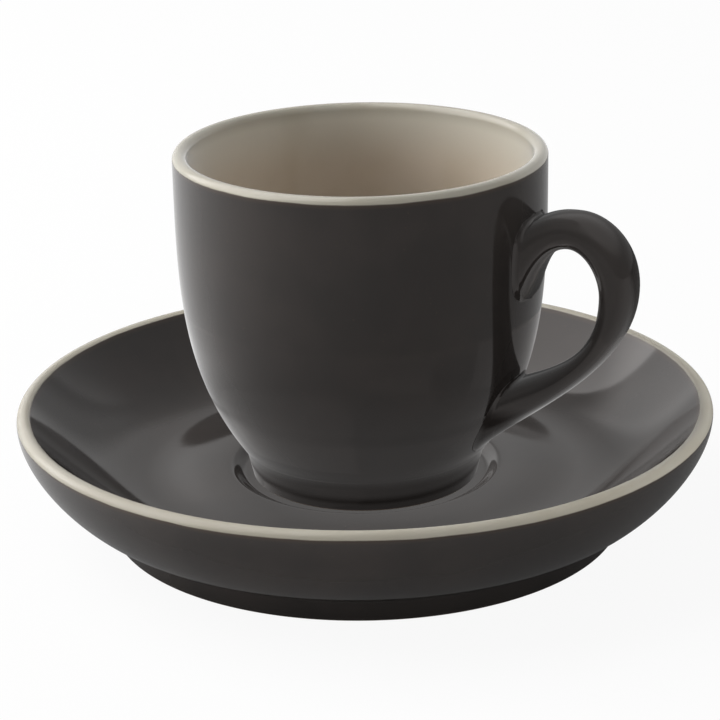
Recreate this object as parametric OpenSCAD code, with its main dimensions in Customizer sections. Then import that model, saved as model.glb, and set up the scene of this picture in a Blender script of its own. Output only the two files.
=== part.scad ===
// Espresso cup on its saucer: glazed stoneware, dark outside, with pale rims and a pale lining.
// Z runs up the common axis, z = 0 is the table and the handle points along +X. Millimetres.

/* [Saucer] */
// Diameter over the rim
saucer_d = 120; // [112:1:150]
// Height of the rim above the table
saucer_h = 22; // [18:0.5:30]
// Thickness of the rounded rim
saucer_lip = 2.8; // [2:0.1:4]
// Lean of the dish's wall at the rim, in degrees from upright
dish_lean = 43; // [38:1:46]
// Diameter of the foot ring where it meets the dish
saucer_foot_d = 90.3; // [72:0.1:100]
// Height of the foot ring
saucer_foot_h = 4; // [2:0.25:6]
// Width of the foot ring
saucer_foot_w = 5; // [3:0.25:8]
// How far the foot ring draws in towards the table
saucer_foot_taper = 0.6; // [0:0.1:1.2]
// Slope of the underside where it meets the foot ring, in degrees
underside_slope = 15; // [8:1:30]
// Thickness of the saucer under the cup
saucer_floor = 4.4; // [3:0.1:6]
// Where the pale band starts outside, in degrees up the rounded rim
saucer_band_from = 15; // [5:1:60]
// Where the pale band ends inside, in degrees over the rounded rim
saucer_band_to = 131; // [100:1:133]

/* [Well] */
// Free ring between the cup's foot and the edge of the well
well_clearance = 3.1; // [3:0.1:6]
// Depth of the well
well_depth = 1.4; // [0.8:0.1:2]
// Width of the step up to the dish
well_step = 3.2; // [1:0.1:3.2]

/* [Cup] */
// Diameter over the lip
cup_d = 63; // [56:0.5:72]
// Height from the foot to the lip
cup_h = 58; // [52:0.5:70]
// Thickness of the rounded lip
cup_lip = 2.4; // [2:0.1:3.2]
// Where the pale lip starts outside, in degrees up the rounded lip
cup_band_from = 10; // [5:1:60]
// Diameter of the wall where it meets the foot ring
cup_foot_d = 41.5; // [36:0.1:46]
// Height of the foot ring
cup_foot_h = 5; // [3:0.1:6]
// Width of the foot ring
cup_foot_w = 4; // [3.4:0.1:6]
// How far the foot ring draws in towards the saucer
cup_foot_taper = 1.1; // [0.6:0.1:1.4]
// Thickness of the cup's floor
cup_floor = 3.1; // [2.5:0.1:6]
// Fullness of the outside: a higher power keeps the wall upright for longer
belly_power = 3.6; // [2.8:0.1:4.4]
// Fullness of the inside, down the wall
hollow_power = 3.3; // [2.6:0.1:3.8]

/* [Handle] */
// Width across the handle
handle_w = 8.5; // [6:0.25:10]
// Thickness of the bow
handle_t = 6.1; // [4.5:0.1:7]
// From the cup's lip down to the top of the bow
handle_drop = 7; // [5:0.25:12]
// From the side of the cup out to the far end of the bow
handle_reach = 18; // [16:0.25:24]
// From the side of the cup out to the highest point of the bow
handle_crest = 7.7; // [6:0.1:10]
// From the top of the bow down to its far end
handle_shoulder = 11.9; // [10:0.1:16]
// From the top of the bow down to the top of the upper seat
upper_seat_drop = 1.9; // [1:0.1:3]
// Height of the upper seat on the wall
upper_seat_h = 13; // [11:0.25:16]
// Height of the lower seat's bottom end above the cup's foot
lower_seat_z = 8.4; // [6.5:0.1:12]
// Height of the lower seat on the wall
lower_seat_h = 12.2; // [9:0.1:15]
// Fillet of slip round each seat
lute_fillet = 1; // [0.4:0.1:1.6]

/* [Coats] */
// Thickness of the glaze
glaze_t = 0.35; // [0.2:0.05:0.5]
// Free ring between the cup's base coat and its foot ring
base_gap = 0.3; // [0.3:0.05:1]
// Rounding of the foot rings' standing edges
foot_edge = 0.5; // [0.2:0.05:0.8]

/* [Hidden] */
$fn = 360;

dark = "#38342f";
pale = "#cfc8b8";
beige = "#b3a392";
clay = "#b09a86";

// Heights above the table
well_z = saucer_foot_h + saucer_floor;
shelf_z = well_z + well_depth;
crease_z = well_z + cup_foot_h;
cup_floor_z = crease_z + cup_floor;
cup_top = well_z + cup_h;

// Radii, and the centres of the two rounded rims as radius and height
saucer_side = saucer_d / 2;
saucer_foot_r = saucer_foot_d / 2;
saucer_foot_inner_r = saucer_foot_r - saucer_foot_w;
saucer_lip_r = saucer_lip / 2;
saucer_rim = [saucer_side - saucer_lip_r, saucer_h - saucer_lip_r];
cup_side = cup_d / 2;
cup_foot_r = cup_foot_d / 2;
cup_foot_inner_r = cup_foot_r - cup_foot_w;
cup_lip_r = cup_lip / 2;
cup_rim = [cup_side - cup_lip_r, cup_top - cup_lip_r];
well_r = cup_foot_r + well_clearance;

// Steps along the curves
wall_steps = 18;
hollow_steps = 18;
dish_steps = 20;
well_steps = 6;
underside_steps = 14;
rim_steps = 10;
rim_edge_steps = 2;
corner_steps = 4;
bow_steps = [8, 8, 16];
lute_stops = [0, 0.1, 0.25, 0.5, 1];
handle_sides = 20;

// Helpers for outlines in the plane of radius and height

function polar(a) = [cos(a), sin(a)];

function arc(centre, r, from, to, steps) = [
    for (i = [0:steps]) centre + r * polar(from + (to - from) * i / steps)
];

function part_of(pts, from, to) = [for (i = [from:to]) pts[i]];

function tail(pts) = part_of(pts, 1, len(pts) - 1);

function reversed(pts) = [for (i = [len(pts) - 1:-1:0]) pts[i]];

// Cubic curve that leaves a at angle da and reaches b at angle db, pulled by shares of the chord
function curve(a, da, b, db, pull, steps) =
    let (chord = norm(b - a))
    let (c = a + pull[0] * chord * polar(da))
    let (d = b - pull[1] * chord * polar(db))
    [
        for (i = [0:steps])
            let (u = i / steps, v = 1 - u)
            v * v * v * a + 3 * v * v * u * c + 3 * v * u * u * d + u * u * u * b
    ];

// Outward direction at a point of a skin that is followed with the clay on its left
function outward(pts, i) =
    let (d = pts[i + 1] - pts[i - 1])
    [d[1], -d[0]] / norm(d);

// The skin moved into the clay by the thickness of the glaze: the first point goes in along the
// given direction, and the points from upright_from on go straight down
function under(pts, first, upright_from) = [
    for (i = [0:len(pts) - 1])
        pts[i] - glaze_t * (i == 0 ? first : i >= upright_from ? [0, 1] : outward(pts, i))
];

// Saucer: the skin runs from the foot ring up the underside, over the rim and in to the axis

underside_pull = [0.35, 0.23];
underside = curve([saucer_foot_r, saucer_foot_h], underside_slope,
                  [saucer_side, saucer_rim[1]], 90, underside_pull, underside_steps);

rim_end_angle = 180 - dish_lean;
rim_outside = arc(saucer_rim, saucer_lip_r, 0, saucer_band_from, rim_edge_steps);
rim_band = arc(saucer_rim, saucer_lip_r, saucer_band_from, saucer_band_to, rim_steps);
rim_inside = arc(saucer_rim, saucer_lip_r, saucer_band_to, rim_end_angle, rim_edge_steps);

// The dish leaves the rim at its lean, sinks into a shallow trough and runs out level at the well
dish_pull = [0.63, 0.36];
rim_end = saucer_rim + saucer_lip_r * polar(rim_end_angle);
dish_curve = curve(rim_end, rim_end_angle + 90, [well_r, shelf_z], 180, dish_pull, dish_steps);

// Half a cosine wave steps down from the dish to the floor of the well
well_curve = [
    for (i = [0:well_steps])
        let (u = i / well_steps)
        [well_r - well_step * u, well_z + well_depth * (1 + cos(180 * u)) / 2]
];

saucer_skin = concat(underside, tail(rim_outside), tail(rim_band), tail(rim_inside),
                     tail(dish_curve), tail(well_curve), [[0, well_z]]);
band_first = underside_steps + rim_edge_steps;
band_last = band_first + rim_steps;
well_first = band_last + rim_edge_steps + dish_steps;
saucer_last = len(saucer_skin) - 1;
saucer_clay = under(saucer_skin, [0, -1], well_first);

// Cup: the skin runs from the foot ring up the wall, over the lip and down the inside to the axis

function cup_wall(z) =
    cup_side - (cup_side - cup_foot_r) * pow((cup_rim[1] - z) / (cup_rim[1] - crease_z), belly_power);

wall_curve = [
    for (i = [0:wall_steps])
        let (z = crease_z + (cup_rim[1] - crease_z) * i / wall_steps)
        [cup_wall(z), z]
];

lip_outside = arc(cup_rim, cup_lip_r, 0, cup_band_from, rim_edge_steps);
lip_band = arc(cup_rim, cup_lip_r, cup_band_from, 180, rim_steps);

// The inside is a superellipse, upright at the lip and level at the middle of the floor
hollow_round = 3;
hollow_r = cup_side - cup_lip;
hollow_depth = cup_rim[1] - cup_floor_z;
hollow_curve = [
    for (i = [0:hollow_steps])
        let (a = 90 * i / hollow_steps)
        [hollow_r * pow(cos(a), 2 / hollow_round), cup_rim[1] - hollow_depth * pow(sin(a), 2 / hollow_power)]
];

cup_skin = concat(wall_curve, tail(lip_outside), tail(lip_band), tail(hollow_curve));
lining_first = wall_steps + rim_edge_steps;
cup_last = len(cup_skin) - 1;
cup_clay = under(cup_skin, [1, 0], cup_last);

// Handle: outer and inner edge of the bow in its own plane, as distance from the cup's axis and height

bow_top = cup_top - handle_drop;
bow_far = cup_side + handle_reach;
bow_far_z = bow_top - handle_shoulder;
bow_crest = cup_side + handle_crest;
upper_seat_top = bow_top - upper_seat_drop;
upper_seat_low = upper_seat_top - upper_seat_h;
lower_seat_low = well_z + lower_seat_z;
lower_seat_top = lower_seat_low + lower_seat_h;
// The eye of the handle is a little nearer the cup and a little lower than the bow round it
eye_shift = 1.1;
eye_sink = 1.6;
eye_crest = bow_crest - eye_shift;
eye_top = bow_top - handle_t;
eye_far = bow_far - handle_t;
eye_far_z = bow_far_z - eye_sink;

// Angles at which each edge leaves the upper seat and reaches the lower one
outer_angles = [21, -138];
inner_angles = [71, -156];
// Pulls of the three curves of each edge: up to the crest, out to the far side, down to the lower seat
outer_pulls = [[0.33, 0.49], [0.3, 0.48], [0.35, 0.29]];
inner_pulls = [[0.35, 0.35], [0.34, 0.35], [0.48, 0.31]];

function seat(z) = [cup_wall(z), z];

// One edge of the bow from seat to seat, level at its crest and upright at its far point
function edge(from, crest, far, to, angles, pulls) = concat(
    curve(from, angles[0], crest, 0, pulls[0], bow_steps[0]),
    tail(curve(crest, 0, far, -90, pulls[1], bow_steps[1])),
    tail(curve(far, -90, to, angles[1], pulls[2], bow_steps[2])));

outer_edge = edge(seat(upper_seat_top), [bow_crest, bow_top], [bow_far, bow_far_z],
                  seat(lower_seat_low), outer_angles, outer_pulls);
inner_edge = edge(seat(upper_seat_low), [eye_crest, eye_top], [eye_far, eye_far_z],
                  seat(lower_seat_top), inner_angles, inner_pulls);

bow_last = len(outer_edge) - 1;

// Roundness of the handle's section: 2 is an ellipse
section_round = 2.3;
// How far the handle's ends reach in past the skin of the wall before they are cut to it
root_depth = 1.5;

function rounded(x) = sign(x) * pow(abs(x), 2 / section_round);

// One ring of the handle between two edge points, grown by the fillet and moved along the radius
function ring(o, i, grow = 0, shift = 0) =
    let (centre = (o + i) / 2, half = (o - i) / 2)
    let (long = half * (1 + grow / norm(half)), wide = handle_w / 2 + grow)
    [
        for (k = [0:handle_sides - 1])
            let (a = 360 * k / handle_sides, p = centre + long * rounded(cos(a)))
            [p[0] + shift, wide * rounded(sin(a)), p[1]]
    ];

// Rings of a lute from the root in the wall to the end of the bow, with the quarter round of its fillet
function lute_rings(seat_step, bow_step) = concat(
    [ring(outer_edge[seat_step], inner_edge[seat_step], lute_fillet, -root_depth)],
    [
        for (u = lute_stops)
            ring(outer_edge[seat_step] * (1 - u) + outer_edge[bow_step] * u,
                 inner_edge[seat_step] * (1 - u) + inner_edge[bow_step] * u,
                 lute_fillet * (1 - sqrt(1 - (1 - u) * (1 - u))))
    ]);

// Closed skin over a row of rings
module loft(rings) {
    n = len(rings);
    m = handle_sides;
    sides = [
        for (j = [0:n - 2], k = [0:m - 1])
            let (l = (k + 1) % m)
            each [
                [j * m + k, (j + 1) * m + k, (j + 1) * m + l],
                [j * m + k, (j + 1) * m + l, j * m + l]
            ]
    ];
    caps = [[for (k = [0:m - 1]) k], [for (k = [m - 1:-1:0]) (n - 1) * m + k]];
    polyhedron([for (r = rings) each r], concat(sides, caps));
}

module upper_root() {
    loft(lute_rings(0, 1));
}

module lower_root() {
    loft(reversed(lute_rings(bow_last, bow_last - 1)));
}

module coat(skin, clay_side, from, to) {
    rotate_extrude()
        polygon(concat(part_of(skin, from, to), reversed(part_of(clay_side, from, to))));
}

module foot_ring(outer_r, inner_r, bottom, top, taper) {
    edge_z = bottom + foot_edge;
    rotate_extrude()
        polygon(concat(
            [[outer_r, top], [inner_r, top]],
            arc([inner_r + foot_edge, edge_z], foot_edge, 180, 270, corner_steps),
            arc([outer_r - taper - foot_edge, edge_z], foot_edge, 270, 360, corner_steps)));
}

// The glazed wall with its inside filled, to cut the lutes to the wall
module cup_block() {
    rotate_extrude()
        polygon(concat(wall_curve, [[0, cup_rim[1]], [0, crease_z]]));
}

module saucer_dish() {
    color(clay)
        rotate_extrude()
            polygon(concat([[0, saucer_foot_h], [saucer_foot_r, saucer_foot_h]], saucer_clay));
}

module saucer_foot_ring() {
    color(dark)
        foot_ring(saucer_foot_r, saucer_foot_inner_r, 0, saucer_foot_h, saucer_foot_taper);
}

module saucer_face_glaze() {
    color(dark)
        coat(saucer_skin, saucer_clay, band_last, saucer_last);
}

module saucer_rim_band() {
    color(pale)
        coat(saucer_skin, saucer_clay, band_first, band_last);
}

module saucer_underside_glaze() {
    color(dark)
        coat(saucer_skin, saucer_clay, 0, band_first);
}

module saucer_base_glaze() {
    color(dark)
        translate([0, 0, saucer_foot_h - glaze_t])
            cylinder(r = saucer_foot_inner_r, h = glaze_t);
}

module cup_foot_ring() {
    color(dark)
        foot_ring(cup_foot_r, cup_foot_inner_r, well_z, crease_z, cup_foot_taper);
}

module cup_bowl() {
    color(clay)
        rotate_extrude()
            polygon(concat([[0, crease_z]], cup_clay));
}

module cup_lining() {
    color(beige)
        coat(cup_skin, cup_clay, lining_first, cup_last);
}

module cup_jacket() {
    color(dark)
        coat(cup_skin, cup_clay, 0, lining_first);
}

module cup_base_glaze() {
    color(dark)
        translate([0, 0, crease_z - glaze_t])
            cylinder(r = cup_foot_inner_r - base_gap, h = glaze_t);
}

module cup_handle() {
    color(dark)
        loft([for (i = [1:bow_last - 1]) ring(outer_edge[i], inner_edge[i])]);
}

module handle_upper_lute() {
    color(dark)
        difference() {
            upper_root();
            cup_block();
        }
}

module handle_lower_lute() {
    color(dark)
        difference() {
            lower_root();
            cup_block();
        }
}

saucer_dish();
saucer_foot_ring();
saucer_face_glaze();
saucer_rim_band();
saucer_underside_glaze();
saucer_base_glaze();
cup_foot_ring();
cup_bowl();
cup_lining();
cup_jacket();
cup_base_glaze();
cup_handle();
handle_upper_lute();
handle_lower_lute();
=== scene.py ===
"""Espresso cup on its saucer: glazed stoneware, dark outside, with pale rims and a cream lining.

Shapes are worked out in millimetres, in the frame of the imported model, and become metres in the meshes.
"""
import math

import bpy
import numpy as np
from mathutils import Matrix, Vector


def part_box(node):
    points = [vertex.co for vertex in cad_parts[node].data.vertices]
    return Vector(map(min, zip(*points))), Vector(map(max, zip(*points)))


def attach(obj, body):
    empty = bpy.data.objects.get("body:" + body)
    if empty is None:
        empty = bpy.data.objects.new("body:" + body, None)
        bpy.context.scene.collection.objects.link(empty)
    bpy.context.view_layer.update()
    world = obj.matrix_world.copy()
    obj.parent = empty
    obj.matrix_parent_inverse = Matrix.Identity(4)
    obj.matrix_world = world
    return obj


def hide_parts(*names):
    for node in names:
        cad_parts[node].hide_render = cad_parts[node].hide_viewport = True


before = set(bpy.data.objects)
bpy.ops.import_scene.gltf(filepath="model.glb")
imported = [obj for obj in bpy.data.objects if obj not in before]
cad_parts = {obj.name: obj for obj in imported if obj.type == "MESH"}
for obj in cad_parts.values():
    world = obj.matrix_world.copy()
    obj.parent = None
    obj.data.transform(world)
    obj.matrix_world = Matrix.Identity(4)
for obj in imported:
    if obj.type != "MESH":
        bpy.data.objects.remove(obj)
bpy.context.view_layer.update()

MM = 0.001

# Detail of the meshes: points round the axis and along the runs of an outline, steps along arcs, sides, steps
# and sunk rings of the handle, and the degrees from which on an edge is hard
AROUND = 240
LONG_RUN = 97
UNDERSIDE_RUN = 64
WELL_EDGE_RUN = 25
FLAT_RUN = 12
DISC_RUN = 9
FOOT_EDGE_STEPS = 8
CREASE_STEPS = 12
BAND_STEPS = 40
LIP_STEPS = 48
RIM_SIDE_STEPS = (5, 8)
LIP_SIDE_STEPS = 4
HANDLE_SIDES = 64
HANDLE_STEPS = (44, 32, 72)
SUNK_RINGS = 5
SHARP = 40


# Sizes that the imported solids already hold

def reach(node):
    """Largest x of a solid in millimetres: the radius of a solid of revolution round Z."""
    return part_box(node)[1].x / MM


def top(node):
    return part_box(node)[1].z / MM


def bottom(node):
    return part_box(node)[0].z / MM


saucer_side = reach("saucer_underside_glaze")
saucer_top = top("saucer_rim_band")
saucer_foot_r = reach("saucer_foot_ring")
saucer_foot_top = top("saucer_foot_ring")
saucer_base_r = reach("saucer_base_glaze")
saucer_base_z = bottom("saucer_base_glaze")
well_z = bottom("cup_foot_ring")
cup_side = reach("cup_jacket")
cup_top = top("cup_lining")
cup_foot_r = reach("cup_foot_ring")
crease_z = top("cup_foot_ring")
cup_base_r = reach("cup_base_glaze")
cup_base_z = bottom("cup_base_glaze")
bow_far = reach("cup_handle")
bow_top = top("cup_handle")
handle_w = 2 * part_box("cup_handle")[1].y / MM

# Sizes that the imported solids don't show by themselves
glaze_t = 0.35
foot_edge = 0.5
saucer_crease_fillet = 1.2
cup_crease_fillet = 5.0

saucer_lip_r = 1.4
dish_lean = 43
dish_pull = (0.36, 0.63)
saucer_foot_inner_r = saucer_base_r
saucer_foot_taper = 0.6
underside_slope = 15
underside_pull = (0.35, 0.23)
saucer_band = (15, 131)
well_clearance = 3.1
well_r = cup_foot_r + well_clearance
well_depth = 1.4
well_step = 3.2

cup_lip_r = 1.2
lip_band_from = 10
cup_base_gap = 0.3
cup_foot_inner_r = cup_base_r + cup_base_gap
cup_foot_taper = 1.1
cup_floor = 3.1
belly_power = 3.6
hollow_round = 3.0
hollow_power = 3.3

handle_t = 6.1
handle_crest = 7.7
handle_shoulder = 11.9
upper_seat_drop = 1.9
upper_seat_h = 13.0
lower_seat_z = 8.4
lower_seat_h = 12.2
inner_crest_back = 1.1
inner_far_drop = 1.6
outer_ends = (21, -138)
outer_pulls = ((0.33, 0.49), (0.30, 0.48), (0.35, 0.29))
inner_ends = (71, -156)
inner_pulls = ((0.35, 0.35), (0.34, 0.35), (0.48, 0.31))
end_crowding = 0.7
lute_fillet = 0.9
root_flare = 2.2
flare_reach = 9.0
arm_rings = 64
lower_end_rings = 16
root_depth = 1.2
section_round = 2.3
root_blunt = 0.5

# Derived places, as radius and height
saucer_rim = np.array([saucer_side - saucer_lip_r, saucer_top - saucer_lip_r])
cup_rim = np.array([cup_side - cup_lip_r, cup_top - cup_lip_r])
shelf_z = well_z + well_depth


# Outlines in the plane of radius and height

def polar(degrees):
    """Unit vectors at the given angles."""
    radians = np.radians(degrees)
    return np.stack([np.cos(radians), np.sin(radians)], axis=-1)


def arc(centre, radius, start, end, steps):
    """Circle arc: centre plus radius times the unit vector, at even angles from start to end."""
    return np.asarray(centre) + radius * polar(np.linspace(start, end, steps + 1))


def curve(a, leaving, b, arriving, pull, shares):
    """Cubic curve from a to b with the given end directions, its handles being shares of the chord."""
    a, b = np.asarray(a), np.asarray(b)
    chord = np.linalg.norm(b - a)
    c = a + pull[0] * chord * polar(leaving)
    d = b - pull[1] * chord * polar(arriving)
    u = np.asarray(shares)[:, None]
    v = 1 - u
    return v ** 3 * a + 3 * v * v * u * c + 3 * v * u * u * d + u ** 3 * b


def joined(*runs):
    """Runs of points in a row, each without the first point, which the run before it ends on."""
    return np.concatenate([runs[0]] + [run[1:] for run in runs[1:]])


def under(skin):
    """The skin moved into the clay on its left by the thickness of the glaze, along its normals."""
    step = np.gradient(skin, axis=0)
    outward = np.stack([step[:, 1], -step[:, 0]], axis=1)
    outward /= np.linalg.norm(outward, axis=1, keepdims=True)
    moved = skin - glaze_t * outward
    moved[skin[:, 0] == 0, 0] = 0
    return moved


def coat(skin):
    """Closed outline of a coat: out along its clay side and back along its skin."""
    return np.concatenate([under(skin)[::-1], skin])


def foot_ring(outer, inner, low, crease, taper):
    """Closed outline of a foot ring: flat standing face with rounded edges, drawn in towards it, and
    a last point on its outside in the middle of the crease."""
    edge_z = low + foot_edge
    inside = arc((inner + foot_edge, edge_z), foot_edge, 180, 270, FOOT_EDGE_STEPS)
    outside = arc((outer - taper - foot_edge, edge_z), foot_edge, 270, 360, FOOT_EDGE_STEPS)
    rise = np.linspace(0, 1, FLAT_RUN)[1:-1, None]
    side = outside[-1] + rise * (crease[0] - outside[-1])
    return np.concatenate([[(inner, crease[0][1])], inside, outside, side, crease])


def crease_arc(foot_side, corner, rise_angle, radius):
    """Fillet of glaze in the corner between a foot ring's side and the skin above it: an arc that
    touches both lines, cut into its lower and its upper half."""
    side_angle = math.degrees(math.atan2(*(corner - foot_side)[::-1]))
    half_turn = (side_angle - rise_angle) / 2
    reach_back = radius * math.tan(math.radians(half_turn))
    touch = corner - reach_back * polar(side_angle)
    centre = touch + radius * polar(side_angle - 90)
    start = side_angle + 90
    middle = start - half_turn
    lower = arc(centre, radius, start, middle, CREASE_STEPS)
    upper = arc(centre, radius, middle, start - 2 * half_turn, CREASE_STEPS)
    return lower, upper, reach_back


def beyond(skin, corner, distance):
    """The part of a skin that lies further from the corner than the given distance."""
    return skin[np.linalg.norm(skin - corner, axis=1) > distance]


# Saucer skin: from the crease at the foot up the underside, over the rim and in to the axis

saucer_corner = np.array([saucer_foot_r, saucer_foot_top])
saucer_foot_low = np.array([saucer_foot_r - saucer_foot_taper, foot_edge])
saucer_crease = crease_arc(saucer_foot_low, saucer_corner, underside_slope, saucer_crease_fillet)
underside = curve(saucer_corner, underside_slope, (saucer_side, saucer_rim[1]), 90, underside_pull,
                  np.linspace(0, 1, UNDERSIDE_RUN))
underside = beyond(underside, saucer_corner, saucer_crease[2])
rim_outside = arc(saucer_rim, saucer_lip_r, 0, saucer_band[0], RIM_SIDE_STEPS[0])
rim_band = arc(saucer_rim, saucer_lip_r, *saucer_band, BAND_STEPS)
rim_inside = arc(saucer_rim, saucer_lip_r, saucer_band[1], 180 - dish_lean, RIM_SIDE_STEPS[1])

dish_top = rim_inside[-1]
dish = curve((well_r, shelf_z), 0, dish_top, 90 - dish_lean, dish_pull,
             np.sin(np.linspace(0, math.pi / 2, LONG_RUN)))[::-1]

step_share = np.linspace(0, 1, WELL_EDGE_RUN)
well_edge = np.stack([well_r - well_step * step_share,
                      well_z + well_depth * (1 + np.cos(math.pi * step_share)) / 2], axis=1)
well_floor = np.stack([np.linspace(well_edge[-1, 0], 0, FLAT_RUN), np.full(FLAT_RUN, well_z)], axis=1)

# Cup skin: from the crease at the foot up the wall, over the lip and down the inside to the axis

def cup_wall(z):
    """Radius of the cup's outside at a height: it leaves the lip upright and draws in by a power."""
    fall = np.clip((cup_rim[1] - z) / (cup_rim[1] - crease_z), 0, None)
    return cup_side - (cup_side - cup_foot_r) * fall ** belly_power


cup_corner = np.array([cup_foot_r, crease_z])
cup_foot_low = np.array([cup_foot_r - cup_foot_taper, well_z + foot_edge])
wall_rise = math.degrees(math.atan2(cup_rim[1] - crease_z, (cup_side - cup_foot_r) * belly_power))
cup_crease = crease_arc(cup_foot_low, cup_corner, wall_rise, cup_crease_fillet)
wall_z = np.linspace(crease_z, cup_rim[1], LONG_RUN)
wall = beyond(np.stack([cup_wall(wall_z), wall_z], axis=1), cup_corner, cup_crease[2])
lip_outside = arc(cup_rim, cup_lip_r, 0, lip_band_from, LIP_SIDE_STEPS)
lip = arc(cup_rim, cup_lip_r, lip_band_from, 180, LIP_STEPS)

fall_angle = np.linspace(0, math.pi / 2, LONG_RUN)
hollow_r = cup_side - 2 * cup_lip_r
hollow_depth = cup_rim[1] - (crease_z + cup_floor)
hollow = np.stack([hollow_r * np.maximum(np.cos(fall_angle), 0) ** (2 / hollow_round),
                   cup_rim[1] - hollow_depth * np.sin(fall_angle) ** (2 / hollow_power)], axis=1)
hollow[-1, 0] = 0


# Meshes

def piece(name, points, faces, material, body, slot, *nodes):
    """Puts a closed mesh into the scene, smooth except along its hard edges, and joins it to the frame."""
    mesh = bpy.data.meshes.new(name)
    mesh.from_pydata((points * MM).tolist(), [], faces)
    mesh.shade_smooth()
    mesh.set_sharp_from_angle(angle=math.radians(SHARP))
    mesh.materials.append(material)
    obj = bpy.data.objects.new(name, mesh)
    bpy.context.scene.collection.objects.link(obj)
    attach(obj, body)
    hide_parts(*nodes)
    return obj


def grid_faces(rows, columns, rows_closed):
    """Four-sided faces over a grid that is closed along its columns and, if asked, along its rows."""
    i = np.arange(rows if rows_closed else rows - 1)[:, None]
    j = np.arange(columns)[None, :]
    after_i = (i + 1) % rows
    after_j = (j + 1) % columns
    quads = np.stack([i * columns + j, i * columns + after_j,
                      after_i * columns + after_j, after_i * columns + j], axis=-1)
    return quads.reshape(-1, 4).tolist()


def pole_faces(ring, pole, outward_last):
    """Fan of triangles from a ring of points to one pole."""
    after = np.roll(ring, -1)
    pair = (ring, after) if outward_last else (after, ring)
    return np.stack([*pair, np.full(len(ring), pole)], axis=1).tolist()


def turned(name, outline, *joins):
    """Surface of revolution: each point (r, z) of the outline goes once round Z at AROUND even angles.
    The outline keeps its inside on its left. One that starts and ends on the axis closes in two poles,
    any other closes on itself."""
    on_axis = outline[:, 0] < 1e-6
    rings = outline[~on_axis]
    around = polar(np.arange(AROUND) * 360 / AROUND)
    flat = rings[:, 0, None, None] * around
    height = np.broadcast_to(rings[:, 1, None, None], flat.shape[:2] + (1,))
    points = np.concatenate([flat, height], axis=2).reshape(-1, 3)
    faces = grid_faces(len(rings), AROUND, not on_axis.any())
    if on_axis.any():
        poles = np.stack([np.zeros(2), np.zeros(2), outline[on_axis][:, 1]], axis=1)
        first = np.arange(AROUND)
        last = first + (len(rings) - 1) * AROUND
        faces += pole_faces(first, len(points), False) + pole_faces(last, len(points) + 1, True)
        points = np.concatenate([points, poles])
    return piece(name, points, faces, *joins)


def disc(radius, low, high):
    """Outline of a flat disc, from its lower pole round its edge to its upper pole."""
    out = np.linspace(0, radius, DISC_RUN)
    return np.concatenate([np.stack([out, np.full(DISC_RUN, low)], axis=1),
                           np.stack([out[::-1], np.full(DISC_RUN, high)], axis=1)])


# Shader maths

class Value:
    """One shader socket. Arithmetic on it adds Math nodes beside it."""

    def __init__(self, finish, socket):
        self.finish = finish
        self.socket = socket

    def math(self, operation, a, b=0.0):
        return self.finish.add("ShaderNodeMath", {"operation": operation}, {0: a, 1: b})

    def __add__(self, other):
        return self.math("ADD", self, other)

    __radd__ = __add__

    def __sub__(self, other):
        return self.math("SUBTRACT", self, other)

    def __rsub__(self, other):
        return self.math("SUBTRACT", other, self)

    def __mul__(self, other):
        return self.math("MULTIPLY", self, other)

    __rmul__ = __mul__

    def __truediv__(self, other):
        return self.math("DIVIDE", self, other)

    def at_least(self, other):
        return self.math("MAXIMUM", self, other)

    def at_most(self, other):
        return self.math("MINIMUM", self, other)

    def root(self):
        return self.math("SQRT", self)

    def angle_to(self, other):
        """Angle of the point (other, self), in radians."""
        return self.math("ARCTAN2", self, other)

    def ease(self, low, high):
        """Smooth step: 0 below low, 1 above high."""
        return self.finish.add("ShaderNodeMapRange", {"interpolation_type": "SMOOTHSTEP"},
                               {"Value": self, "From Min": low, "From Max": high})


class Finish:
    """The node tree of a material or of the world."""

    def __init__(self, owner):
        owner.use_nodes = True
        self.owner = owner
        self.tree = owner.node_tree
        self.tree.nodes.clear()

    def add(self, kind, settings=None, inputs=None, output=0):
        """Adds one node: settings first, then the values or links of its sockets; gives an output."""
        node = self.tree.nodes.new(kind)
        for name, setting in (settings or {}).items():
            if name == "stops":
                self.set_stops(node.color_ramp, setting)
            else:
                setattr(node, name, setting)
        for name, value in (inputs or {}).items():
            if isinstance(value, Value):
                self.tree.links.new(value.socket, node.inputs[name])
            else:
                node.inputs[name].default_value = value
        return Value(self, node.outputs[output]) if len(node.outputs) else node

    @staticmethod
    def set_stops(ramp, stops):
        """Grey stops of a ramp, as pairs of place and brightness."""
        while len(ramp.elements) < len(stops):
            ramp.elements.new(1.0)
        for element, (place, level) in zip(ramp.elements, stops):
            element.position = place
            element.color = (level, level, level, 1)

    def parts(self, vector):
        """The three coordinates of a vector, one by one."""
        split = self.add("ShaderNodeSeparateXYZ", inputs={"Vector": vector}).socket.node
        return [Value(self, socket) for socket in split.outputs]

    def place(self):
        """The point on the surface: its three coordinates in metres, as a vector and one by one."""
        vector = self.add("ShaderNodeTexCoord", output="Object")
        return vector, self.parts(vector)

    def noise(self, vector, size_mm, detail=2.0):
        """Cloudy noise between 0 and 1 whose patches are about the given size."""
        return self.add("ShaderNodeTexNoise", inputs={
            "Vector": vector, "Scale": 1 / (size_mm * MM), "Detail": detail}, output="Fac")

    def blend(self, share, first, second):
        """Mix of two colours, which may be fixed or links."""
        colours = [c if isinstance(c, Value) else (*c, 1.0) for c in (first, second)]
        return self.add("ShaderNodeMix", {"data_type": "RGBA"},
                        {0: share, 6: colours[0], 7: colours[1]}, 2)


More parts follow.
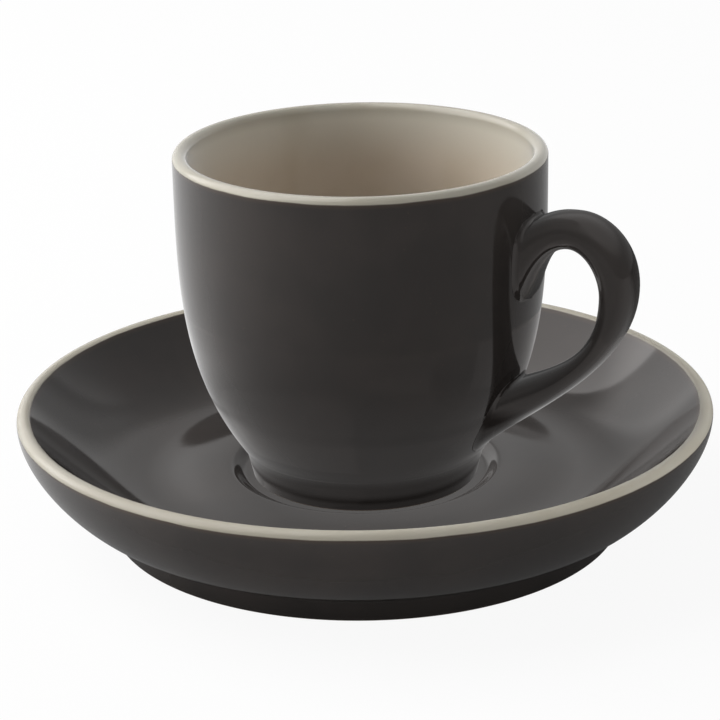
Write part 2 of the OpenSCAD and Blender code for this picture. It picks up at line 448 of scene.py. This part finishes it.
# Colours of the fired surfaces, linear
DARK = (0.042, 0.036, 0.033)
DARK_DEEP = (0.034, 0.030, 0.028)
DARK_THIN = (0.085, 0.060, 0.044)
PALE = (0.48, 0.45, 0.375)
PALE_WARM = (0.46, 0.425, 0.345)
# The cream is one glaze. Its tones by depth are painted light and shade: darker on the lip, where most light
# falls, lighter on the rim, where the lip's inside is in shade, and warmer in the hollow, as painted bounce
# light
LIP = (0.355, 0.337, 0.283)
LIP_WARM = (0.34, 0.317, 0.259)
LINING_RIM = (0.455, 0.424, 0.36)
LINING = (0.49, 0.422, 0.34)
LINING_DEEP = (0.465, 0.395, 0.31)
CLAY = (0.43, 0.33, 0.25)
CLAY_DARK = (0.33, 0.24, 0.17)
# The glaze mirrors a touch warmer than the light
SHEEN = (1.0, 0.95, 0.93, 1.0)
GLAZE_IOR = 1.5

# Roughness of glossy glaze, its spread, and what bare clay adds to it
GLOSS = 0.06
GLOSS_SPREAD = 0.04
BARE_ROUGHNESS = 0.6
# Share of the thin tone where dark glaze runs thin
THIN_SHARE = 0.5
# Millimetres: waves of the glaze and grain of the clay, where thin glaze ends before a wiped edge, heights
# between which a standing face goes over into bare clay, and depths between which the lip's tone goes over
# into the rim's and the rim's into the lining's, a change that is painted light and shade
GLAZE_WAVES = 0.006
CLAY_GRAIN = 0.03
THIN_END = 0.05
BARE_EDGE = (0.3, 0.12)
LIP_TO_RIM = (0.6, 3.2)
RIM_TO_LINING = (1.5, 13.0)


def glaze_shader(finish, colour, roughness, height, height_mm):
    """Principled surface of a fired glaze, with its fine unevenness as bump."""
    bump = finish.add("ShaderNodeBump", inputs={
        "Strength": 1.0, "Distance": height_mm * MM, "Height": height}, output="Normal")
    shader = finish.add("ShaderNodeBsdfPrincipled", inputs={
        "Base Color": colour, "Roughness": roughness, "IOR": GLAZE_IOR, "Specular Tint": SHEEN,
        "Normal": bump}, output="BSDF")
    finish.add("ShaderNodeOutputMaterial", inputs={"Surface": shader})
    return finish.owner


def dark_colour(finish, vector, thin):
    """Charcoal glaze: faint clouds, a few fine flecks, and browner where it runs thin."""
    clouds = finish.noise(vector, 14).ease(0.3, 0.7)
    flecks = finish.noise(vector, 0.5, 1.0).ease(0.72, 0.8)
    colour = finish.blend(clouds, DARK_DEEP, DARK)
    colour = finish.blend(flecks * 0.25, colour, DARK_THIN)
    return finish.blend(thin, colour, DARK_THIN)


def pale_colour(finish, vector, light, warm):
    """Pale glaze: clouds between two tones and fine sparse specks of iron."""
    clouds = finish.noise(vector, 9).ease(0.3, 0.7)
    specks = finish.noise(vector, 0.6, 1.0).ease(0.74, 0.8)
    colour = finish.blend(clouds, warm, light)
    return finish.blend(specks * 0.18, colour, CLAY_DARK)


def wiped_glaze(finish, vector, edge, bare, pale_side, soft, run, satin):
    """Dark glaze that goes over into the pale side where the edge, in millimetres, is above zero. It is
    soft at the edge, runs thin before it, is satin on the pale side, and leaves the bare part as clay."""
    pale = edge.ease(-soft, soft)
    thin = edge.ease(-run, -THIN_END) * THIN_SHARE
    colour = finish.blend(pale, dark_colour(finish, vector, thin), pale_side)
    colour = finish.blend(bare, colour, CLAY)
    roughness = GLOSS + GLOSS_SPREAD * finish.noise(vector, 3) + satin * pale + BARE_ROUGHNESS * bare
    height = finish.noise(vector, 3.5, 1.0)
    return glaze_shader(finish, colour, roughness, height, GLAZE_WAVES)


def sway(finish, vector, size_mm, swing):
    """How far a wiped edge wanders, in millimetres to either side."""
    return (finish.noise(vector, size_mm) - 0.5) * swing


def saucer_glaze():
    """Dark glaze with the pale band over the rim; the edges of the band wander a little, as wiped
    edges do. The standing face of the foot is bare."""
    finish = Finish(bpy.data.materials.new("saucer_glaze"))
    vector, (x, y, z) = finish.place()
    r = (x * x + y * y).root()
    wander = sway(finish, vector, 7, 0.2)
    below = z / MM - rim_band[0, 1] - wander
    inside = r / MM - rim_band[-1, 0] - wander
    bare = (z / MM + wander * 0.3).ease(*BARE_EDGE)
    return wiped_glaze(finish, vector, below.at_most(inside), bare,
                       pale_colour(finish, vector, PALE, PALE_WARM), soft=0.12, run=0.8, satin=0.14)


def cup_glaze(name, lined):
    """Dark glaze outside and, where lined, cream glaze inside; the cream comes over the lip and ends in
    a wiped edge just below it. The standing face of the foot is bare."""
    finish = Finish(bpy.data.materials.new(name))
    vector, (x, y, z) = finish.place()
    r = (x * x + y * y).root()
    wander = sway(finish, vector, 8, 0.35)
    above = z / MM - lip[0, 1] - wander
    edge = above.at_least(cup_rim[0] - r / MM) if lined else above
    bare = (z / MM - well_z + wander * 0.2).ease(*BARE_EDGE)
    # Painted light and shade: by depth the cream goes from the darker lip over the lighter rim to the warmer
    # lining
    depth = cup_top - z / MM
    cream = finish.blend(depth.ease(*LIP_TO_RIM), pale_colour(finish, vector, LIP, LIP_WARM), LINING_RIM)
    cream = finish.blend(depth.ease(*RIM_TO_LINING), cream, pale_colour(finish, vector, LINING, LINING_DEEP))
    return wiped_glaze(finish, vector, edge, bare, cream, soft=0.14, run=0.9, satin=0.10)


def bare_clay():
    """Fired stoneware without glaze: sandy grain in two tones, matt."""
    finish = Finish(bpy.data.materials.new("bare_clay"))
    vector, _ = finish.place()
    grain = finish.noise(vector, 0.4, 3.0)
    clouds = finish.noise(vector, 6)
    colour = finish.blend(grain.ease(0.35, 0.7) * 0.5 + clouds * 0.3, CLAY, CLAY_DARK)
    return glaze_shader(finish, colour, 0.7 + 0.2 * grain, grain, CLAY_GRAIN)


saucer_finish = saucer_glaze()
cup_finish = cup_glaze("cup_glaze", False)
lining_finish = cup_glaze("cup_lining_glaze", True)
clay_finish = bare_clay()


# Saucer pieces

def build_saucer():
    joins = (saucer_finish, "saucer", "dark_glaze")
    lower, upper, _ = saucer_crease
    foot = turned("saucer_foot", foot_ring(saucer_foot_r, saucer_foot_inner_r, 0, lower, saucer_foot_taper),
                  *joins, "saucer_foot_ring")
    outside = turned("saucer_outside", coat(joined(upper, underside, rim_outside)),
                     *joins, "saucer_underside_glaze")
    band = turned("saucer_pale_band", coat(rim_band), saucer_finish, "saucer", "pale_glaze",
                  "saucer_rim_band")
    face = turned("saucer_face", coat(joined(rim_inside, dish, well_edge, well_floor)),
                  *joins, "saucer_face_glaze")
    base = turned("saucer_base", disc(saucer_base_r, saucer_base_z, saucer_foot_top),
                  *joins, "saucer_base_glaze")
    return [band, foot, outside, face, base]


# Cup pieces

def build_cup():
    joins = (cup_finish, "cup", "dark_glaze")
    lower, upper, _ = cup_crease
    foot = turned("cup_foot", foot_ring(cup_foot_r, cup_foot_inner_r, well_z, lower, cup_foot_taper),
                  cup_finish, "cup_foot", "dark_glaze", "cup_foot_ring")
    outside = turned("cup_outside", coat(joined(upper, wall, lip_outside)), *joins, "cup_jacket")
    inside = turned("cup_inside", coat(joined(lip, hollow)), lining_finish, "cup", "lining_glaze",
                    "cup_lining")
    base = turned("cup_base", disc(cup_base_r, cup_base_z, crease_z), *joins, "cup_base_glaze")
    return [foot, outside, inside, base]


def eased_shares(steps, start, end):
    """Shares of a curve from 0 to 1, closer together at an end that is marked 1 than one marked 0."""
    t = np.linspace(0, 1, steps + 1)
    if start:
        t = (1 - end_crowding) * t + end_crowding * t * t
    if end:
        t = 1 - ((1 - end_crowding) * (1 - t) + end_crowding * (1 - t) ** 2)
    return t


def bow_edge(upper_z, crest, far, lower_z, ends, pulls):
    """One edge of the handle in its plane, in three cubic curves: from the upper seat up to the crest, out
    to the far side, and down to the lower seat."""
    upper, lower = (np.array([cup_wall(z), z]) for z in (upper_z, lower_z))
    up_steps, over_steps, down_steps = HANDLE_STEPS
    return joined(curve(upper, ends[0], crest, 0, pulls[0], eased_shares(up_steps, 1, 0)),
                  curve(crest, 0, far, -90, pulls[1], eased_shares(over_steps, 0, 0)),
                  curve(far, -90, lower, ends[1], pulls[2], eased_shares(down_steps, 0, 1)))


def bow_edges():
    """Outer and inner edge of the handle, the thickness of the handle apart at the crest and the far side."""
    crest = cup_side + handle_crest
    far_z = bow_top - handle_shoulder
    upper_z = bow_top - upper_seat_drop
    lower_z = well_z + lower_seat_z
    outer = bow_edge(upper_z, (crest, bow_top), (bow_far, far_z), lower_z, outer_ends, outer_pulls)
    inner = bow_edge(upper_z - upper_seat_h, (crest - inner_crest_back, bow_top - handle_t),
                     (bow_far - handle_t, far_z - inner_far_drop), lower_z + lower_seat_h,
                     inner_ends, inner_pulls)
    return outer, inner


def handle_rings(outer, inner, inwards, flare, grow):
    """Rings of the handle: superellipses between the two edges, widened by the flare at the roots, grown
    by a fillet and moved towards the axis."""
    a = np.linspace(0, 2 * math.pi, HANDLE_SIDES, endpoint=False)
    power = 2 / (section_round + root_blunt * flare[:, None] / root_flare)
    along = np.sign(np.cos(a)) * np.abs(np.cos(a)) ** power
    across = np.sign(np.sin(a)) * np.abs(np.sin(a)) ** power
    half = (outer - inner) / 2
    length = np.linalg.norm(half, axis=1, keepdims=True)
    mid = ((outer + inner) / 2)[:, None, :]
    flat = mid + (half / length)[:, None, :] * ((length + grow) * along)[:, :, None]
    width = (handle_w / 2 + flare[:, None] + grow) * across
    return np.stack([flat[..., 0] - inwards[:, None], width, flat[..., 1]], axis=2)


def swept(name, rings, *nodes):
    """Closed skin over a row of rings, with a pole in the middle of each end."""
    rows, sides = rings.shape[:2]
    points = np.concatenate([rings.reshape(-1, 3), rings[[0, -1]].mean(axis=1)])
    first = np.arange(sides)
    count = rows * sides
    faces = (grid_faces(rows, sides, False) + pole_faces(first, count, False)
             + pole_faces(first + count - sides, count + 1, True))
    return piece(name, points, faces, cup_finish, "cup", "dark_glaze", *nodes)


def build_handle():
    """The handle swept between its two edges, cut into its bow, the arm that comes down from it and the
    arm's end. Towards the wall its width flares, close to the wall each ring grows by the quarter round of
    the lute's fillet, and both ends run on into the wall and close."""
    outer, inner = bow_edges()
    sunk = np.linspace(root_depth, 0, SUNK_RINGS + 1)[:-1]
    inwards = np.concatenate([sunk, np.zeros(len(outer)), sunk[::-1]])
    outer, inner = (np.pad(edge, ((SUNK_RINGS, SUNK_RINGS), (0, 0)), mode="edge") for edge in (outer, inner))
    middle = (outer + inner) / 2
    flare = root_flare * np.clip(1 - (middle[:, 0] - cup_wall(middle[:, 1])) / flare_reach, 0, 1) ** 2
    plain = handle_rings(outer, inner, inwards, flare, 0.0)
    off_wall = np.hypot(plain[..., 0], plain[..., 1]) - cup_wall(plain[..., 2])
    near = np.clip(1 - off_wall / lute_fillet, 0, 1)
    rings = handle_rings(outer, inner, inwards, flare, lute_fillet * (1 - np.sqrt(1 - near ** 2)))
    arm, end = (len(rings) - SUNK_RINGS - count for count in (arm_rings, lower_end_rings))
    return [swept("handle_bow", rings[:arm + 1], "cup_handle", "handle_upper_lute"),
            swept("handle_arm", rings[arm:end + 1], "cup_handle"),
            swept("handle_lower_end", rings[end:], "handle_lower_lute")]


saucer_skin = build_saucer()
cup_skin = build_cup()
handle = build_handle()
clay = [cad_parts[node] for node in ("saucer_dish", "cup_bowl")]
for obj in clay:
    obj.data.materials.clear()
    obj.data.materials.append(clay_finish)


# Stage, light and camera

# The camera: degrees round from -Y towards the handle, its place in metres before that turn, degrees down, of
# roll and aside, the focal length as a multiple of the sensor's width, and that width in millimetres
camera_turn = 26.0
camera_place = (0.0, -0.40898, 0.1762)
camera_down = 19.87
camera_roll = -1.06
camera_aside = 0.09
focal_share = 3.5
SENSOR = 36.0
CLIP_START = 0.01
FACING = polar(camera_turn - 90)
RIGHT = polar(camera_turn)
BLACK = (0, 0, 0)
WHITE = (1, 1, 1)

# The floor: half its width in metres, its gap below the standing face in millimetres, the share of it that
# is plain white to the camera, and the grey that takes the shadow
FLOOR_REACH = 4.0
FLOOR_GAP = 0.05
FLOOR_WHITE = 0.93
FLOOR_MATT = 0.95

# Greys of the studio close to the floor and overhead, as the glaze mirrors them and as they light the
# surfaces, and the heights between which each goes over
STUDIO_MIRRORED = (0.28, 0.45)
STUDIO_MIRRORED_RISE = (0.2, 0.7)
STUDIO_LIGHT = (0.66, 0.2)
STUDIO_LIGHT_RISE = (0.1, 0.5)

# What the glaze mirrors: brightness by the angle from the camera, from left to right
CUP_FAR = [(-180, 0.5), (-150, 0.92), (-120, 1.1), (-90, 1.05), (-70, 0.82), (-50, 0.6), (-30, 0.44),
           (-10, 0.36), (10, 0.3), (30, 0.28), (70, 0.29), (90, 0.24), (110, 0.3), (150, 0.42)]
CUP_NEAR = [(-180, 0.3), (-150, 0.42), (-130, 0.52), (-90, 0.56), (-30, 0.52), (10, 0.47), (50, 0.34),
            (90, 0.2), (130, 0.16)]
HANDLE = [(-180, 0.12), (-165, 0.1), (-50, 0.1), (-25, 0.36), (20, 0.38), (60, 0.6), (80, 0.5), (100, 0.1),
          (150, 0.1)]
SKY = [(-180, 0.36), (-172, 0.36), (-160, 0.0), (-30, 0.0), (0, 0.36), (150, 0.36)]
SAUCER_BELOW = [(-180, 0.5), (-110, 1.0), (-70, 0.9), (-30, 0.52), (10, 0.39), (70, 0.32), (90, 0.28),
                (110, 0.26), (130, 0.24), (160, 0.4)]
SAUCER_BEHIND = [(-180, 0.2), (-174, 0.16), (-169, 0.3), (-164, 0.76), (-159, 0.8), (-150, 1.02),
                 (-141, 1.12), (-130, 1.5), (-112, 1.5), (-100, 0.1), (100, 0.1), (125, 0.05), (138, 0.12),
                 (148, 0.3), (151, 0.08), (158, 0.18), (164, 0.12), (172, 0.3)]

# Where the rays that the belly mirrors at the rim's height come down in the dish, in decimetres from the
# axis, at angles to either side of the camera
MEETING_SIDE = [(20, 0.312), (57, 0.316), (83, 0.323), (98, 0.331), (111, 0.344), (124, 0.365), (137, 0.396)]
MEETING = [(-180, 0.4)] + [(-angle, place) for angle, place in MEETING_SIDE[::-1]] + MEETING_SIDE
MEETING_FRONT = 0.312
MEETING_SPAN = 0.0115
DECIMETRE = 0.1

# Rings on the glow discs, as distances from the axis in metres: the first gives no light or the first tone,
# the second full light or the second tone. The dish's light fades over a width and has an end.
TABLE_NEAR_TO_FAR = (0.026, 0.044)
TABLE_START = (0.0266, 0.0290)
TABLE_START_ASIDE = (0.0262, 0.0278)
HANDLE_START = (0.028, 0.034)
WELL_END = (0.0214, 0.0204)
DISH_START = (0.0199, 0.0217)
DISH_FADE = 0.0044
DISH_END = 0.042
DISH_OPEN = (0.020, 0.030)
FLOOR_OPEN = (0.040, 0.095)
SKY_END = (1.45, 0.4)
# The slopes between which the backdrop's light ends, and shares of full light close to the axis
BACKDROP_TOP_SLOPE = (0.88, 0.58)
WELL_SHARE = 0.45
DISH_SHADE = 0.75
FLOOR_SHADE = 0.2

# Glow discs: diameters and far places in metres, gaps, inset and drop in millimetres
WIDE_GLOW = 3.0
TABLE_GAP = 0.4
DISH_GLOW = 0.09
DISH_GAP = 0.1
WELL_INSET = 1.6
WELL_GAP = 0.25
FLOOR_GLOW = 0.5
FLOOR_GLOW_GAP = 0.1
SKY_HEIGHT = 0.6
BACKDROP_AWAY = 0.4
BOUNCE_GLOW = 0.4
BOUNCE_DROP = 20
# Brightness of the discs that are even all over
LIP_BACKDROP_LEVEL = 0.72
LINING_LEVEL = 0.4
BOUNCE_LEVEL = 0.45

# Square lamps that look at a point on the axis: its height in metres, then degrees round from the camera,
# degrees up and metres away for each, with sides in metres and brightness
AIM_HEIGHT = 0.03
SOFTBOX_PLACE = (-106, 44, 0.8)
SOFTBOX_SIZE = 0.8
SOFTBOX_LEVEL = 3.8
WINDOW_PLACE = (-96, 50, 0.8)
WINDOW_SIZE = 1.2
WINDOW_LEVEL = 1.6
LIP_WINDOW_LEVEL = 2.6
SMALL_LAMP = 0.5
SIDE_PLACE = (-74, 9, 0.8)
SIDE_LEVEL = 6.5
FILL_PLACE = (80, 26, 0.8)
FILL_LEVEL = 2.15
BAND_PLACE = (100, 12, 0.8)
BAND_LEVEL = 5.0


def grey(level):
    return (level, level, level)


def round_about(finish, x, y, levels):
    """Brightness by the direction round the object, from a row of angles and levels that closes itself."""
    front = x * FACING[0] + y * FACING[1]
    side = x * RIGHT[0] + y * RIGHT[1]
    turn = side.angle_to(front) / (2 * math.pi) + 0.5
    closed = levels + [(180, levels[0][1])]
    stops = [(degrees / 360 + 0.5, level) for degrees, level in closed]
    return finish.add("ShaderNodeValToRGB", {"stops": stops}, {"Fac": turn})


def ray_kinds(finish):
    """Whether a ray comes from the camera or through glass, and whether from a mirroring surface."""
    path = finish.add("ShaderNodeLightPath").socket.node.outputs
    camera, glossy, transmission = (Value(finish, path[f"Is {ray} Ray"])
                                    for ray in ("Camera", "Glossy", "Transmission"))
    return camera.at_least(transmission), glossy


def build_floor():
    """Pale floor: white where the camera sees it, apart from the soft shadow, and dark in the glaze,
    which mirrors the glow discs instead. From below it is clear, so that the undersides can be seen."""
    ways = [(-1, -1), (1, -1), (1, 1), (-1, 1)]
    corners = [(FLOOR_REACH * x, FLOOR_REACH * y, -FLOOR_GAP * MM) for x, y in ways]
    mesh = bpy.data.meshes.new("floor")
    mesh.from_pydata(corners, [], [(0, 1, 2, 3)])
    finish = Finish(bpy.data.materials.new("pale_floor"))
    seen, glossy = ray_kinds(finish)
    glow = finish.add("ShaderNodeEmission", inputs={"Color": finish.blend(glossy, WHITE, BLACK)})
    matt = finish.add("ShaderNodeBsdfDiffuse", inputs={"Color": (*grey(FLOOR_MATT), 1)})
    glowing = (seen * FLOOR_WHITE).at_least(glossy)
    above = finish.add("ShaderNodeMixShader", inputs={0: glowing, 1: matt, 2: glow})
    from_below = finish.add("ShaderNodeNewGeometry", output="Backfacing")
    clear = finish.add("ShaderNodeBsdfTransparent")
    shader = finish.add("ShaderNodeMixShader", inputs={0: from_below, 1: above, 2: clear})
    finish.add("ShaderNodeOutputMaterial", inputs={"Surface": shader})
    mesh.materials.append(finish.owner)
    floor = bpy.data.objects.new("floor", mesh)
    bpy.context.scene.collection.objects.link(floor)
    return floor


def build_world():
    """White round the object for the camera, dim in the glaze and a little brighter overhead, and a soft
    light on the surfaces that comes mostly from the sides."""
    world = bpy.data.worlds.new("studio")
    bpy.context.scene.world = world
    finish = Finish(world)
    seen, glossy = ray_kinds(finish)
    height = finish.parts(finish.add("ShaderNodeTexCoord", output="Generated"))[2]
    mirrored, light = (finish.blend(height.ease(*rise), *map(grey, greys))
                       for rise, greys in ((STUDIO_MIRRORED_RISE, STUDIO_MIRRORED),
                                           (STUDIO_LIGHT_RISE, STUDIO_LIGHT)))
    colour = finish.blend(glossy, finish.blend(seen, light, WHITE), mirrored)
    background = finish.add("ShaderNodeBackground", inputs={"Color": colour})
    finish.add("ShaderNodeOutputWorld", inputs={"Surface": background})


def aimed(turn, rise, distance):
    """Place of a lamp that looks at the cup, turn degrees round from the camera and rise degrees up."""
    return (Matrix.Translation((0, 0, AIM_HEIGHT))
            @ Matrix.Rotation(math.radians(camera_turn + turn), 4, "Z")
            @ Matrix.Rotation(math.radians(90 - rise), 4, "X") @ Matrix.Translation((0, 0, distance)))


def facing_up(z):
    """Place of a level disc that shines upwards, at a height in millimetres."""
    return Matrix.Translation((0, 0, z * MM)) @ Matrix.Rotation(math.pi, 4, "X")


def build_lamp(name, shape, place, size, light, pieces, mirrored, shadow=True):
    """Lamp for the given pieces alone, which either their glaze mirrors or their surface is lit by. The
    light is a function of its shader, of the world coordinates on the lamp and of their distance from the
    axis, and gives a brightness of the lamp's face."""
    data = bpy.data.lights.new(name, "AREA")
    data.shape = shape
    data.size = size
    data.energy = math.pi * size ** 2 * (math.pi / 4 if shape == "DISK" else 1)
    data.use_shadow = shadow
    finish = Finish(data)
    x, y, z = finish.parts(finish.add("ShaderNodeNewGeometry", output="Position"))
    colour = light(finish, x, y, z, (x * x + y * y).root())
    glow = finish.add("ShaderNodeEmission", inputs={"Color": colour})
    finish.add("ShaderNodeOutputLight", inputs={"Surface": glow})
    lamp = bpy.data.objects.new(name, data)
    bpy.context.scene.collection.objects.link(lamp)
    lamp.matrix_world = place
    lamp.visible_camera = False
    lamp.visible_diffuse = not mirrored
    lamp.visible_glossy = mirrored
    lamp.light_linking.receiver_collection = pieces


def table_light(finish, x, y, z, r):
    """Table round the cup, at the height of the saucer's rim; it sets in where the dish's light fades, and
    a little closer to the axis at the sides than at the front."""
    colour = finish.blend(r.ease(*TABLE_NEAR_TO_FAR), round_about(finish, x, y, CUP_NEAR),
                          round_about(finish, x, y, CUP_FAR))
    aside = ((round_about(finish, x, y, MEETING) - MEETING_FRONT) / MEETING_SPAN).at_most(1.0)
    none, full = (front + (side - front) * aside for front, side in zip(TABLE_START, TABLE_START_ASIDE))
    return finish.blend(r.ease(none, full), BLACK, colour)


def handle_table_light(finish, x, y, z, r):
    """Table round the cup as the handle mirrors it, dark where the cup stands before it."""
    return finish.blend(r.ease(*HANDLE_START), BLACK, round_about(finish, x, y, HANDLE))


def well_light(finish, x, y, z, r):
    """Table right at the cup's foot."""
    return finish.blend(WELL_SHARE * r.ease(*WELL_END), BLACK, round_about(finish, x, y, CUP_NEAR))


def dish_light(finish, x, y, z, r):
    """Table close to the cup's foot, which the part below the rim's height mirrors."""
    full = round_about(finish, x, y, MEETING) * DECIMETRE
    fade = r.ease((full + DISH_FADE).at_most(DISH_END), full) * r.ease(*DISH_START)
    share = (DISH_SHADE + (1 - DISH_SHADE) * r.ease(*DISH_OPEN)) * fade
    return finish.blend(share, BLACK, round_about(finish, x, y, CUP_NEAR))


def floor_light(finish, x, y, z, r):
    """Floor round the saucer, darker close to its foot."""
    share = FLOOR_SHADE + (1 - FLOOR_SHADE) * r.ease(*FLOOR_OPEN)
    return finish.blend(share, BLACK, round_about(finish, x, y, SAUCER_BELOW))


def backdrop_light(finish, x, y, z, r):
    """Backdrop behind the saucer, up to a little over half its distance, bright on the left."""
    return finish.blend((z / r).ease(*BACKDROP_TOP_SLOPE), BLACK, round_about(finish, x, y, SAUCER_BEHIND))


def sky_light(finish, x, y, z, r):
    """Bright ceiling over the handle, dark where the cup stands before it."""
    return finish.blend(r.ease(*SKY_END), BLACK, round_about(finish, x, y, SKY))


def even_light(level):
    """Light of one brightness all over."""
    return lambda finish, x, y, z, r: (*grey(level), 1)


def group(name, pieces):
    """Collection of the pieces that a lamp shines on."""
    collection = bpy.data.collections.new(name)
    for obj in pieces:
        collection.objects.link(obj)
    return collection


def build_mirrored_lamps():
    """What cup, handle and saucer mirror, each by itself. The cup mirrors level discs at its foot, in the
    dish and over the saucer's rim, the handle the last two and a bright ceiling, the saucer the floor under
    it, a backdrop behind it and a window, and the lining the window, a backdrop and its own floor."""
    foot, outside, inside, base = cup_skin
    on_cup = group("lit_with_the_cup", [foot, outside, base])
    on_lining = group("mirrored_in_the_lining", [inside])
    on_handle = group("lit_with_the_handle", handle)
    on_bow = group("lit_by_the_sky", handle[:1])
    on_both = group("lit_with_cup_and_handle", [foot, outside, base] + handle)
    on_saucer = group("lit_with_the_saucer", saucer_skin)
    over_rim = facing_up(saucer_top + TABLE_GAP)
    behind = (Matrix.Rotation(math.radians(camera_turn + 180), 4, "Z") @ Matrix.Rotation(math.pi / 2, 4, "X")
              @ Matrix.Translation((0, 0, BACKDROP_AWAY)))
    window = aimed(*WINDOW_PLACE)
    lamps = [
        ("table_glow", "DISK", over_rim, WIDE_GLOW, table_light, on_cup),
        ("handle_table_glow", "DISK", over_rim, WIDE_GLOW, handle_table_light, on_handle),
        ("dish_glow", "DISK", facing_up(shelf_z + DISH_GAP), DISH_GLOW, dish_light, on_both),
        ("well_glow", "DISK", facing_up(well_z + WELL_GAP), 2 * (well_r - WELL_INSET) * MM, well_light,
         on_cup),
        ("floor_glow", "DISK", facing_up(FLOOR_GLOW_GAP), FLOOR_GLOW, floor_light, on_saucer),
        ("backdrop_glow", "DISK", behind, WIDE_GLOW, backdrop_light, on_saucer),
        ("sky_glow", "DISK", Matrix.Translation((0, 0, SKY_HEIGHT)), WIDE_GLOW, sky_light, on_bow),
        ("window_glow", "SQUARE", window, WINDOW_SIZE, even_light(WINDOW_LEVEL), on_saucer),
        ("lip_window_glow", "SQUARE", window, WINDOW_SIZE, even_light(LIP_WINDOW_LEVEL), on_lining),
        ("lining_glow", "DISK", facing_up(crease_z + cup_floor), WIDE_GLOW, even_light(LINING_LEVEL),
         on_lining),
        ("lip_backdrop_glow", "DISK", behind, WIDE_GLOW, even_light(LIP_BACKDROP_LEVEL), on_lining)]
    for lamp in lamps:
        build_lamp(*lamp, mirrored=True)


def build_surface_lamps(floor):
    """What lights the surfaces: a softbox, which throws the cup's shadow on the floor but none on the saucer,
    a bounce from below on cup and handle, a side light and a fill in the cup, and a fill on the pale band."""
    foot, outside, inside, base = cup_skin
    in_cup = group("lit_in_the_cup", [inside])
    in_shadow = group("lit_with_shadows", cup_skin + handle + clay + [floor])
    without_shadow = group("lit_without_shadows", saucer_skin)
    above_bounce = group("lit_from_below", [foot, outside, base] + handle)
    on_band = group("lit_with_the_band", saucer_skin[:1])
    softbox = aimed(*SOFTBOX_PLACE)
    lamps = [
        ("softbox", "SQUARE", softbox, SOFTBOX_SIZE, even_light(SOFTBOX_LEVEL), in_shadow, True),
        ("saucer_softbox", "SQUARE", softbox, SOFTBOX_SIZE, even_light(SOFTBOX_LEVEL), without_shadow, False),
        ("bounce", "DISK", facing_up(-BOUNCE_DROP), BOUNCE_GLOW, even_light(BOUNCE_LEVEL), above_bounce,
         False),
        ("side_light", "SQUARE", aimed(*SIDE_PLACE), SMALL_LAMP, even_light(SIDE_LEVEL), in_cup, True),
        ("fill_light", "SQUARE", aimed(*FILL_PLACE), SMALL_LAMP, even_light(FILL_LEVEL), in_cup, True),
        ("band_fill", "SQUARE", aimed(*BAND_PLACE), SMALL_LAMP, even_light(BAND_LEVEL), on_band, True)]
    for *lamp, shadow in lamps:
        build_lamp(*lamp, mirrored=False, shadow=shadow)


def build_camera():
    """Camera of the photograph, turned about the saucer's axis into the frame of the object."""
    data = bpy.data.cameras.new("camera")
    data.sensor_width = SENSOR
    data.lens = SENSOR * focal_share
    data.clip_start = CLIP_START
    camera = bpy.data.objects.new("camera", data)
    bpy.context.scene.collection.objects.link(camera)
    camera.matrix_world = (Matrix.Rotation(math.radians(camera_turn), 4, "Z")
                           @ Matrix.Translation(camera_place)
                           @ Matrix.Rotation(math.radians(camera_aside), 4, "Z")
                           @ Matrix.Rotation(math.radians(90 - camera_down), 4, "X")
                           @ Matrix.Rotation(math.radians(camera_roll), 4, "Z"))
    bpy.context.scene.camera = camera


build_world()
build_mirrored_lamps()
build_surface_lamps(build_floor())
# The saucer doesn't mirror the cup or the handle's lower end, and nothing mirrors the saucer's pale band
for obj in cup_skin + clay + saucer_skin[:1] + handle[2:]:
    obj.visible_glossy = False
build_camera()
bpy.context.scene.view_settings.view_transform = "Standard"
